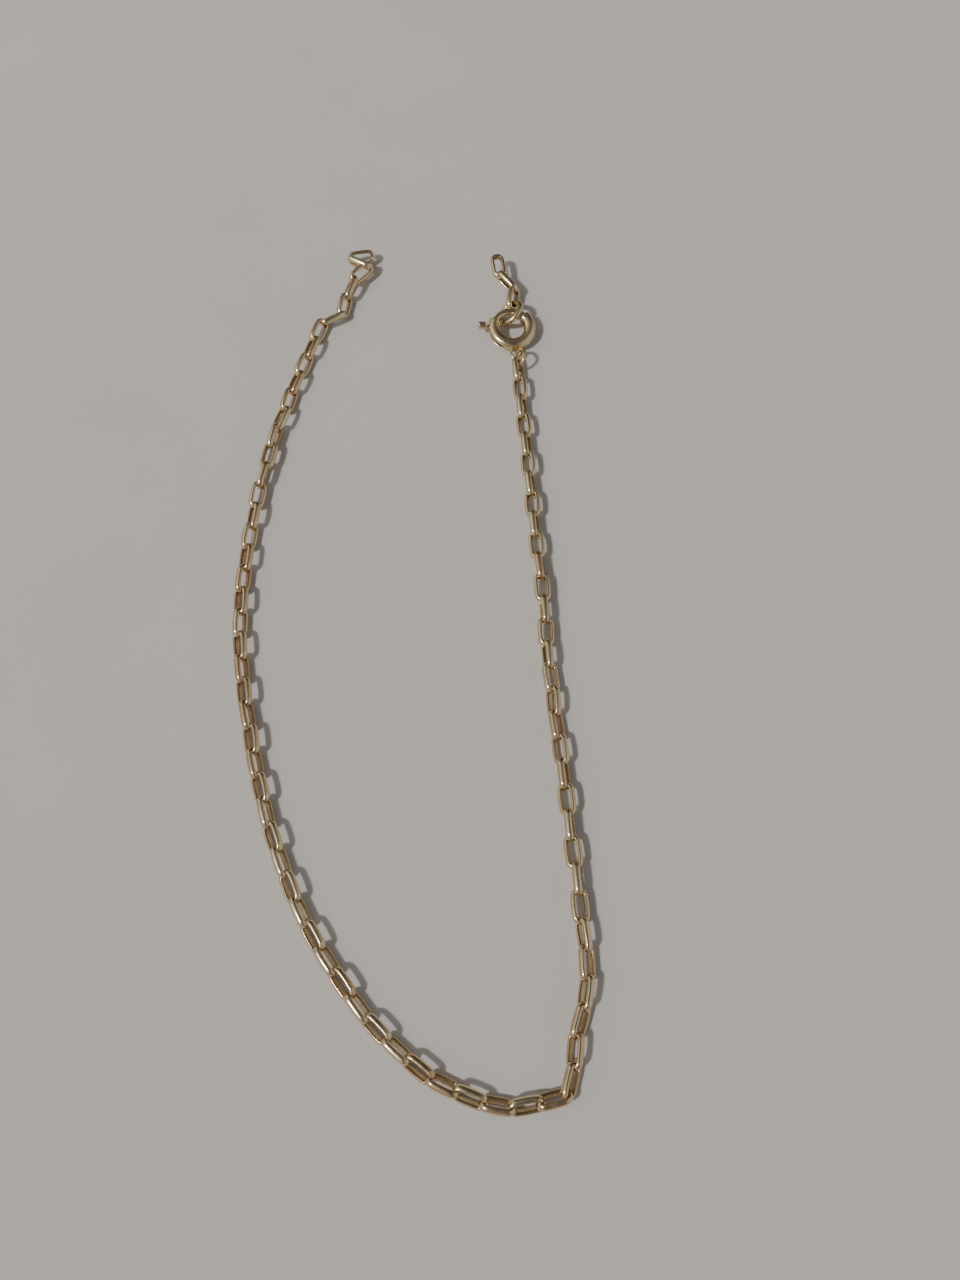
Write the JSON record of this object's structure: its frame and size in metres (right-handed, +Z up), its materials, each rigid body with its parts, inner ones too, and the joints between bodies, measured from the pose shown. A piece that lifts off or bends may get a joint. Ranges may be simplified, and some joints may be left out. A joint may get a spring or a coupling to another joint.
{
  "type": "chain bracelet with bolt ring clasp",
  "caption": "Gold bracelet of long oval belcher links, lying unfastened, with a sprung bolt ring clasp, a catch ring and a short loose end of chain.",
  "frame": {"origin": "centre of the bracelet's box, on the surface that it lies on", "axes": "+Z up from the surface; +Y along the open loop from its bottom bend towards the clasp and the free end; +X towards the strand with the clasp"},
  "size_m": [0.0347, 0.0908, 0.0024],
  "materials": {
    "chain_gold": "polished yellow gold with fine wear",
    "clasp_gold": "polished yellow gold with fine wear"
  },
  "bodies": {
    "bracelet": {"chain_clasp_side": "chain_gold", "chain_free_side": "chain_gold", "stub_links": "chain_gold", "jump_ring": "clasp_gold", "bolt_ring": "clasp_gold", "catch_ring": "clasp_gold"},
    "bolt": {"bolt": "clasp_gold"}
  },
  "joints": [
    {"name": "bolt_slide", "type": "hinge", "parent": "bracelet", "child": "bolt", "pos_m": [0.0108, 0.0344, 0.00112], "axis": [0.0521, -0.129, 0.9903], "range_deg": [0, 66], "stiffness_Nm_per_rad": 0.001, "springref_deg": -28.65}
  ]
}
